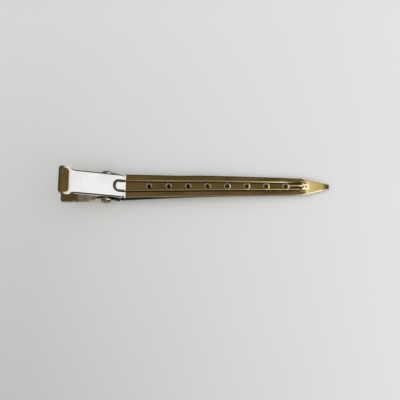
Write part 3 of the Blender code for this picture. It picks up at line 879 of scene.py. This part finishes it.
def rolled_rivet():
    """Hollow rivet: a straight shank, its ends rolled outward over the ears into round rims. The
    profile of one half goes from the shank's outside over the rim and into the bore."""
    seat = ear_outer_half + rim_gap
    face = seat + rim_thickness
    half = np.array((
        (shank_radius, seat - 0.00002), (shank_radius + 0.00004, seat), (rim_radius - 0.00006, seat),
        (rim_radius, seat + 0.00005), (rim_radius, seat + 0.00018),
        (rim_radius - 0.00012, face - 0.00008), (rim_radius - 0.00030, face),
        (rim_radius - 0.00045, face), (rim_radius - 0.00060, face - 0.00012),
        (bore_radius + 0.00010, face - 0.00034), (bore_radius + 0.00001, seat - 0.00040),
        (bore_radius, seat - 0.00080),
    ))
    mirrored = half[::-1] * np.array((1, -1))
    profile = np.concatenate((half, mirrored))
    return turned_ring("rolled_rivet", cut_corners(profile, rivet_cuts), rivet_sides)


def spring_path():
    """Centre line of the spring: a straight leg under each handle and, between them, the turns
    (R cos a, R sin a, p a / 2 pi), which are whole turns less the angle from leg to leg."""
    drop = pivot_height - sheet - leg_gap - wire_radius
    low = np.array((leg_length, -drop))
    _, under = pivot_in_handle()
    rise = under - sheet - leg_gap - wire_radius
    along = np.array((math.cos(handle_angle), math.sin(handle_angle)))
    high = along * leg_length + np.array((-along[1], along[0])) * rise
    start = math.atan2(low[1], low[0]) - math.acos(coil_radius / np.linalg.norm(low))
    finish = math.atan2(high[1], high[0]) + math.acos(coil_radius / np.linalg.norm(high))
    sweep = 2 * math.pi * coil_turns - (finish - start)
    turns = np.linspace(0, 1, coil_points)
    angle = start - sweep * turns
    width = coil_pitch * sweep / (2 * math.pi)
    coil = np.stack((np.cos(angle) * coil_radius, np.sin(angle) * coil_radius), axis=1)
    leg = np.linspace(0, 1, leg_points, endpoint=False)[:, None]
    side = np.concatenate((low + (coil[0] - low) * leg, coil, (high + (coil[-1] - high) * leg)[::-1]))
    ends = np.full(leg_points, 0.5)
    y = np.concatenate((-ends, turns - 0.5, ends)) * -width
    x = world_x(pivot_from_tip) - side[:, 0]
    return np.stack((x, y, pivot_height + side[:, 1]), axis=1)


def wound_spring():
    """Round wire: circles across the path, in the frame of its tangent and the coil's axis, with two
    smaller circles and a pole at each end."""
    path = spring_path()
    tangent = unit(np.gradient(path, axis=0))
    side = unit(np.cross(tangent, np.array((0.0, 1.0, 0.0))))
    up = np.cross(side, tangent)
    angle = np.linspace(0, 2 * np.pi, wire_sides, endpoint=False)[:, None]
    circle = np.cos(angle)[None] * side[:, None] + np.sin(angle)[None] * up[:, None]
    cap = np.array((0.0, 0.55, 0.92))
    radius = np.concatenate((cap, np.ones(len(path)), cap[::-1])) * wire_radius
    inset = np.array((0.0, 0.0, 0.1))[:, None] * wire_radius
    first = path[:1] + tangent[0] * inset
    last = path[-1:] - tangent[-1] * inset[::-1]
    path[0] += tangent[0] * wire_radius * 0.25
    path[-1] -= tangent[-1] * wire_radius * 0.25
    centres = np.concatenate((first, path, last))
    circles = np.concatenate((circle[:1],) * 3 + (circle,) + (circle[-1:],) * 3)
    points = centres[:, None] + circles * radius[:, None, None]
    index = np.arange(points.shape[0] * wire_sides).reshape(-1, wire_sides)
    index[0], index[-1] = index[0, 0], index[-1, 0]
    return mesh_from_mixed("wound_spring", points.reshape(-1, 3), bands(index))


def mesh_from_mixed(name, points, faces):
    """Mesh whose end caps are triangles, from quads that repeat the pole."""
    used, numbers = np.unique(faces, return_inverse=True)
    corners = [tuple(dict.fromkeys(face)) for face in numbers.reshape(faces.shape).tolist()]
    mesh = bpy.data.meshes.new(name)
    mesh.from_pydata(points[used].tolist(), [], corners)
    mesh.update()
    mesh.shade_smooth()
    return put_in_scene(name, mesh)


def math_node(operation, reflected=False):
    """An operator of Value, which adds a Math node."""
    def operator(self, other):
        numbers = (other, self) if reflected else (self, other)
        return self.graph.math(operation, *numbers)
    return operator


class Value:
    """A shader socket that takes part in Python sums."""

    def __init__(self, graph, socket):
        self.graph = graph
        self.socket = socket

    __add__ = __radd__ = math_node("ADD")
    __sub__ = math_node("SUBTRACT")
    __rsub__ = math_node("SUBTRACT", reflected=True)
    __mul__ = __rmul__ = math_node("MULTIPLY")
    __truediv__ = math_node("DIVIDE")
    __rtruediv__ = math_node("DIVIDE", reflected=True)


class Graph:
    """Builds the nodes of one material or of the world."""

    def __init__(self, owner):
        owner.use_nodes = True
        self.tree = owner.node_tree
        self.tree.nodes.clear()

    def fill(self, socket, value):
        """Links a value to a socket, or sets the socket's own number, vector or linear colour."""
        if isinstance(value, Value):
            self.tree.links.new(value.socket, socket)
        else:
            socket.default_value = (*value, 1.0) if socket.type == "RGBA" else value

    def add(self, kind, settings, sockets, out=0):
        """Adds a node: its settings first, then the values or links of its sockets."""
        node = self.tree.nodes.new(kind)
        for name, value in settings.items():
            setattr(node, name, value)
        for key, value in sockets.items():
            self.fill(node.inputs[key], value)
        if isinstance(out, tuple):
            return [Value(self, node.outputs[name]) for name in out]
        return Value(self, node.outputs[out]) if node.outputs else None

    def math(self, operation, *numbers):
        """A Math node on values and numbers."""
        return self.add("ShaderNodeMath", {"operation": operation}, dict(enumerate(numbers)))

    def mix(self, share, first, second):
        """Colour mix by a share."""
        return self.add("ShaderNodeMix", {"data_type": "RGBA"}, {0: share, 6: first, 7: second}, 2)

    def cover(self, below, *layers):
        """Lays colours over one another, each by its share."""
        for share, above in layers:
            below = self.mix(share, below, above)
        return below

    def split(self, vector):
        """The three parts of a vector."""
        return self.add("ShaderNodeSeparateXYZ", {}, {0: vector}, ("X", "Y", "Z"))

    def held(self, value):
        """A value held between 0 and 1."""
        return self.add("ShaderNodeClamp", {}, {0: value})

    def span(self, value, start, full, fading, gone):
        """1 between full and fading, running out to 0 at start and gone."""
        return self.ramp(value, start, full) * (1 - self.ramp(value, fading, gone))

    def ramp(self, value, low, high):
        """S-shaped ramp from 0 to 1 between two values."""
        settings = {"interpolation_type": "SMOOTHSTEP"}
        return self.add("ShaderNodeMapRange", settings, {0: value, 1: low, 2: high})

    def surface(self, sockets):
        """Ends a material with its shader."""
        shader = self.add("ShaderNodeBsdfPrincipled", {}, sockets)
        self.add("ShaderNodeOutputMaterial", {}, {0: shader})

    def mark(self, label):
        """A value stored at the points of the piece."""
        return self.add("ShaderNodeAttribute", {"attribute_name": label}, {}, 2)

    def noise(self, scale, stretch=(1, 1, 1), detail=3.0, roughness=0.5):
        """Noise on object coordinates, in features per metre."""
        place = self.add("ShaderNodeTexCoord", {}, {}, 3)
        place = self.add("ShaderNodeMapping", {}, {0: place, 3: stretch})
        sockets = {"Vector": place, "Scale": scale, "Detail": detail, "Roughness": roughness}
        return self.add("ShaderNodeTexNoise", {}, sockets)


def plated_steel(name, light, dark, roughness, edge_dulling):
    """Bright plate over rolled steel: faint drawing lines along the clip, soft handling marks, small
    dull specks and a rougher, darker sheared edge. Where the marks of the piece say so, folds get a
    painted highlight, painted shade darkens the seam between the jaws, painted shade with settled
    dust darkens hollows, folds and inner faces, and borders are matt."""
    material = bpy.data.materials.new(name)
    g = Graph(material)
    clouds = g.noise(140.0, detail=4.0)
    smears = g.noise(420.0, (1, 1.6, 1.6), 5.0, 0.62)
    lines = g.noise(2600.0, (0.035, 1, 1), 4.0, 0.6)
    grain = g.noise(9000.0, (0.4, 1, 1), 2.0)
    specks = g.ramp(g.noise(1500.0, detail=1.0), 0.70, 0.80)
    edge, film, highlit_fold = g.mark("cut_edge"), g.mark("painted_seam_shade"), g.mark("painted_fold_highlight")
    shade_and_soil, rim = g.mark("painted_shade_and_soil"), g.mark("scuffed_rim")
    x, _, _ = g.split(g.add("ShaderNodeTexCoord", {}, {}, 3))
    browner_to_tip = g.ramp(x, world_x(seam_shade_black_from), world_x(seam_shade_brown_to))
    tone = g.cover(
        g.mix(g.ramp(clouds, 0.35, 0.7), light, dark),
        # painted highlight: the folds are lightened in colour to stand in for their bright reflections
        (highlit_fold * 0.8, (0.90, 0.87, 0.78)),
        (specks * 0.35, (0.30, 0.27, 0.22)),
        (edge * edge_dulling, (0.42, 0.39, 0.34)),
        (rim, (0.98, 0.91, 0.74)),
        # painted shade, with some settled dust, darkening grooves, dimples, folds, the nose and inner faces
        (shade_and_soil * 0.80, (0.060, 0.045, 0.028)),
        # painted shade: the front flange along the seam is darkened, black near the bend and brown toward
        # the tip
        (film * 0.98, g.mix(browner_to_tip, (0.012, 0.009, 0.005), (0.110, 0.078, 0.034))),
    )
    rough = roughness + g.ramp(smears, 0.5, 0.8) * 0.05 + lines * 0.03 + specks * 0.15
    rough = rough + edge * 0.06 + film * 0.45 + shade_and_soil * 0.10 + rim * 0.40
    height = lines * 0.5 + grain * 0.16 + smears * 0.2 - specks * 0.25
    bump = g.add("ShaderNodeBump", {}, {"Strength": 0.08, "Distance": 2.0e-5, "Height": height})
    metal = 1 - film - rim * 0.9  # where it isn't metal, the low index keeps it from shining like glass
    g.surface({"Base Color": tone, "Metallic": metal, "Roughness": rough, "Normal": bump, "IOR": 1.06})
    return material


def drawn_wire(name):
    """Spring wire: darker steel with fine drawing marks and a dull film."""
    material = bpy.data.materials.new(name)
    g = Graph(material)
    film = g.noise(900.0, detail=4.0)
    marks = g.noise(5200.0, (1, 0.3, 1), 3.0)
    tone = g.mix(g.ramp(film, 0.35, 0.7), (0.50, 0.48, 0.44), (0.34, 0.32, 0.28))
    rough = 0.24 + film * 0.14 + marks * 0.06
    bump = g.add("ShaderNodeBump", {}, {"Strength": 0.15, "Distance": 2.0e-5, "Height": marks + film * 0.5})
    g.surface({"Base Color": tone, "Metallic": 1.0, "Roughness": rough, "Normal": bump})
    return material


def table_top():
    """Plain pale matt surface with painted shade: a little darker away from the window, to the left and to
    the front, where the window's light falls off.
    """
    material = bpy.data.materials.new("pale_table")
    g = Graph(material)
    cloud = g.noise(14.0, detail=2.0)
    x, y, _ = g.split(g.add("ShaderNodeTexCoord", {}, {}, 3))
    leftward = g.held((shade_from_x - x) / shade_run_x)
    frontward = g.held((shade_from_y - y) / shade_run_y)
    tone = g.mix(cloud, (0.800, 0.800, 0.790), (0.825, 0.825, 0.815))
    # painted shade: the falloff of the light, painted into the table's colour
    tone = g.mix(leftward * (0.10 + frontward * 0.21), tone, (0.0, 0.0, 0.0))
    g.surface({"Base Color": tone, "Roughness": 0.75})
    bpy.ops.mesh.primitive_circle_add(vertices=96, radius=1.6, fill_type="NGON", location=(0, 0, -2.0e-5))
    floor = bpy.context.object
    floor.name = "table_top"
    floor.data.materials.append(material)


def mirrored_room(g, direction):
    """What the bright metal mirrors, by how far a direction leans from straight up: right is x / z and
    back is y / z, so tilting a face by 1 degree moves what it shows by about 0.035. A later patch
    covers an earlier one.

    Overhead is a dim warm room. To the right of it follow a pale band that turns to gold, a cream one,
    the white window and a dark wall. A cream curtain hangs in front, with the dark wall to its right. A
    pale wall stands left and a dark one behind, where a cream patch lights the tip.
    """
    x, y, z = g.split(direction)
    height = g.math("MAXIMUM", z, 0.02)
    right, back = x / height, y / height
    left, front = 0 - right, 0 - back
    toward_tip, dark = right - front * 0.5, (0.026, 0.020, 0.008)

    shapes = g.add("ShaderNodeTexNoise", {}, {"Vector": direction, "Scale": 20.0, "Detail": 2.0})
    overhead = g.mix(g.ramp(shapes, 0.36, 0.64), (0.112, 0.090, 0.018), (0.190, 0.126, 0.050))
    curtain = g.mix(g.ramp(right, 0.232, 0.268), (0.62, 0.56, 0.38), (2.30, 2.02, 1.38))
    lit = (0.35 + g.ramp(right, -0.2, 0.25) * 0.65) * (1 - g.ramp(toward_tip, 0.31, 0.37))
    lit = lit * (1 - g.ramp(right, 0.30, 0.36) * 0.5)
    behind_tip = g.ramp(right - back * 0.12, 0.235, 0.27) * g.span(back, 0.46, 0.60, 3.6, 4.6)
    behind_tip = behind_tip * (1 - g.ramp(right - back * 0.36, 0.36, 0.46))
    low_lamp = g.span(left, 0.055, 0.080, 0.16, 0.22) * g.span(front, 1.05, 1.3, 2.4, 3.5)
    cream = g.span(right, 0.366, 0.378, 0.47, 0.52) * g.span(back, -0.3, -0.2, 0.30, 0.42)
    level = g.span(back, -0.60, -0.45, 0.33, 0.42)
    window = g.span(right, 0.47, 0.52, 1.09, 1.15) * g.span(back, -0.32, -0.22, 0.46, 0.58)
    return g.cover(
        overhead,
        (g.span(front, 0.30, 0.60, 1.4, 2.2) * lit, curtain),
        (g.span(left, 0.34, 0.62, 3.0, 6.0), (0.95, 0.92, 0.82)),
        (g.ramp(back, 0.45, 0.95), (0.022, 0.014, 0.006)),
        (g.ramp(right, 1.35, 1.75), dark),
        (g.ramp(front, 0.36, 0.46) * g.ramp(toward_tip, 0.31, 0.37), dark),
        (behind_tip, (1.15, 1.05, 0.78)),
        (low_lamp, (2.4, 2.3, 2.0)),
        (cream, (1.90, 1.74, 1.32)),
        (g.span(right, 0.262, 0.285, 0.366, 0.378) * level, (0.76, 0.59, 0.14)),
        (g.span(right, 0.262, 0.285, 0.314, 0.330) * level, (1.18, 1.10, 0.74)),
        (window, (1.32, 1.43, 1.68)),
    )


def surroundings():
    """The world: a plain soft light on the table, the mirrored room for reflections and a plain pale
    backdrop for the camera."""
    world = bpy.data.worlds.new("studio")
    bpy.context.scene.world = world
    g = Graph(world)
    direction = g.add("ShaderNodeTexCoord", {}, {}, 0)
    _, _, height = g.split(direction)
    glossy, camera = g.add("ShaderNodeLightPath", {}, {}, ("Is Glossy Ray", "Is Camera Ray"))
    sky = g.mix(g.held(height), (0.30, 0.30, 0.30), (1.05, 1.05, 1.05))
    seen = g.cover(sky, (glossy, mirrored_room(g, direction)), (camera, (0.74, 0.74, 0.73)))
    background = g.add("ShaderNodeBackground", {}, {0: seen, 1: 1.0})
    g.add("ShaderNodeOutputWorld", {}, {0: background})


def soft_lamp(name, place, aim, size, power):
    """A square lamp that lights the table and isn't mirrored."""
    data = bpy.data.lights.new(name, "AREA")
    data.energy = power
    data.size = size
    lamp = put_in_scene(name, data)
    way = unit(np.array(aim) - np.array(place))
    side = unit(np.cross(way, (0.0, 1.0, 0.0)))
    up = np.cross(side, way)
    turn = Matrix(np.stack((side, up, -way), axis=1).tolist()).to_4x4()
    lamp.matrix_world = Matrix.Translation(place) @ turn
    lamp.visible_glossy = False


def view_from_photo():
    """The camera of the picture: its place, its turn and its lens, fitted to points of the clip."""
    data = bpy.data.cameras.new("camera")
    data.sensor_width = 36.0
    data.lens = 58.51
    data.clip_start = 0.01
    data.clip_end = 20.0
    camera = put_in_scene("camera", data)
    turn = Matrix((
        (0.99927336, 0.00499399, 0.0377864),
        (0.0024056, 0.98113915, -0.19328783),
        (-0.038039, 0.19323828, 0.9804142),
    )).to_4x4()
    camera.matrix_world = Matrix.Translation((0.010065, -0.045113, 0.208750)) @ turn
    bpy.context.scene.camera = camera


def arm_on_top(material):
    """The arm with the row of holes."""
    spread = collar_radius / hole_radius * collar_margin
    holes = [((centre, 0.0), radius, radius * spread) for centre, radius in hole_list()]
    up, under = pivot_in_handle()
    bend = upper_arm_route.marks[3]
    web, angle, _ = upper_form.fold(np.array([bend + up]))
    down = float(web[0] + corner_radius * angle[0] + under - corner_radius)
    for side in (-1, 1):
        holes.append(((bend + up, side * down), shank_radius + upper_bore_play, bore_block))
    piece = stamped_arm("perforated_arm", upper_form, upper_stations(), upper_columns, holes)
    finish_piece(piece, material, "upper_body", "upper_arm")


def arm_below(material):
    """The plain arm that lies on the table."""
    centre = pivot_from_tip - lower_setback
    web, angle, _ = lower_form.fold(np.array([centre]))
    down = float(web[0] + corner_radius * angle[0] + pivot_height - corner_radius)
    holes = [((centre, side * down), shank_radius + lower_bore_play, bore_block) for side in (-1, 1)]
    piece = stamped_arm("plain_arm", lower_form, lower_stations(), lower_columns, holes)
    finish_piece(piece, material, "lower_body", "lower_arm")


def finish_piece(piece, material, body, node):
    """Gives a piece its material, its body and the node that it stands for."""
    piece.data.materials.append(material)
    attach(piece, body)
    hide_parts(node)


def build():
    """Makes the stage and the four pieces."""
    bpy.context.scene.view_settings.view_transform = "Standard"
    view_from_photo()
    table_top()
    surroundings()
    soft_lamp("window_light", place=(0.14, -0.07, 0.43), aim=(0.0, 0.0, 0.0), size=0.60, power=0.53)
    bright, shade = (0.66, 0.61, 0.52), (0.60, 0.555, 0.465)
    arm_on_top(plated_steel("upper_plate", bright, shade, roughness=0.05, edge_dulling=0.5))
    arm_below(plated_steel("lower_plate", bright, shade, roughness=0.05, edge_dulling=0.5))
    # painted shade: both rivet tones are darkened to stand in for the shade in the gap round the pivot
    worn, rivet_shade_tone = (0.26, 0.23, 0.18), (0.17, 0.15, 0.11)
    rivet = plated_steel("rivet_plate", worn, rivet_shade_tone, roughness=0.09, edge_dulling=0.0)
    finish_piece(rolled_rivet(), rivet, "lower_body", "pivot_rivet")
    finish_piece(wound_spring(), drawn_wire("spring_wire"), "lower_body", "torsion_spring")


build()
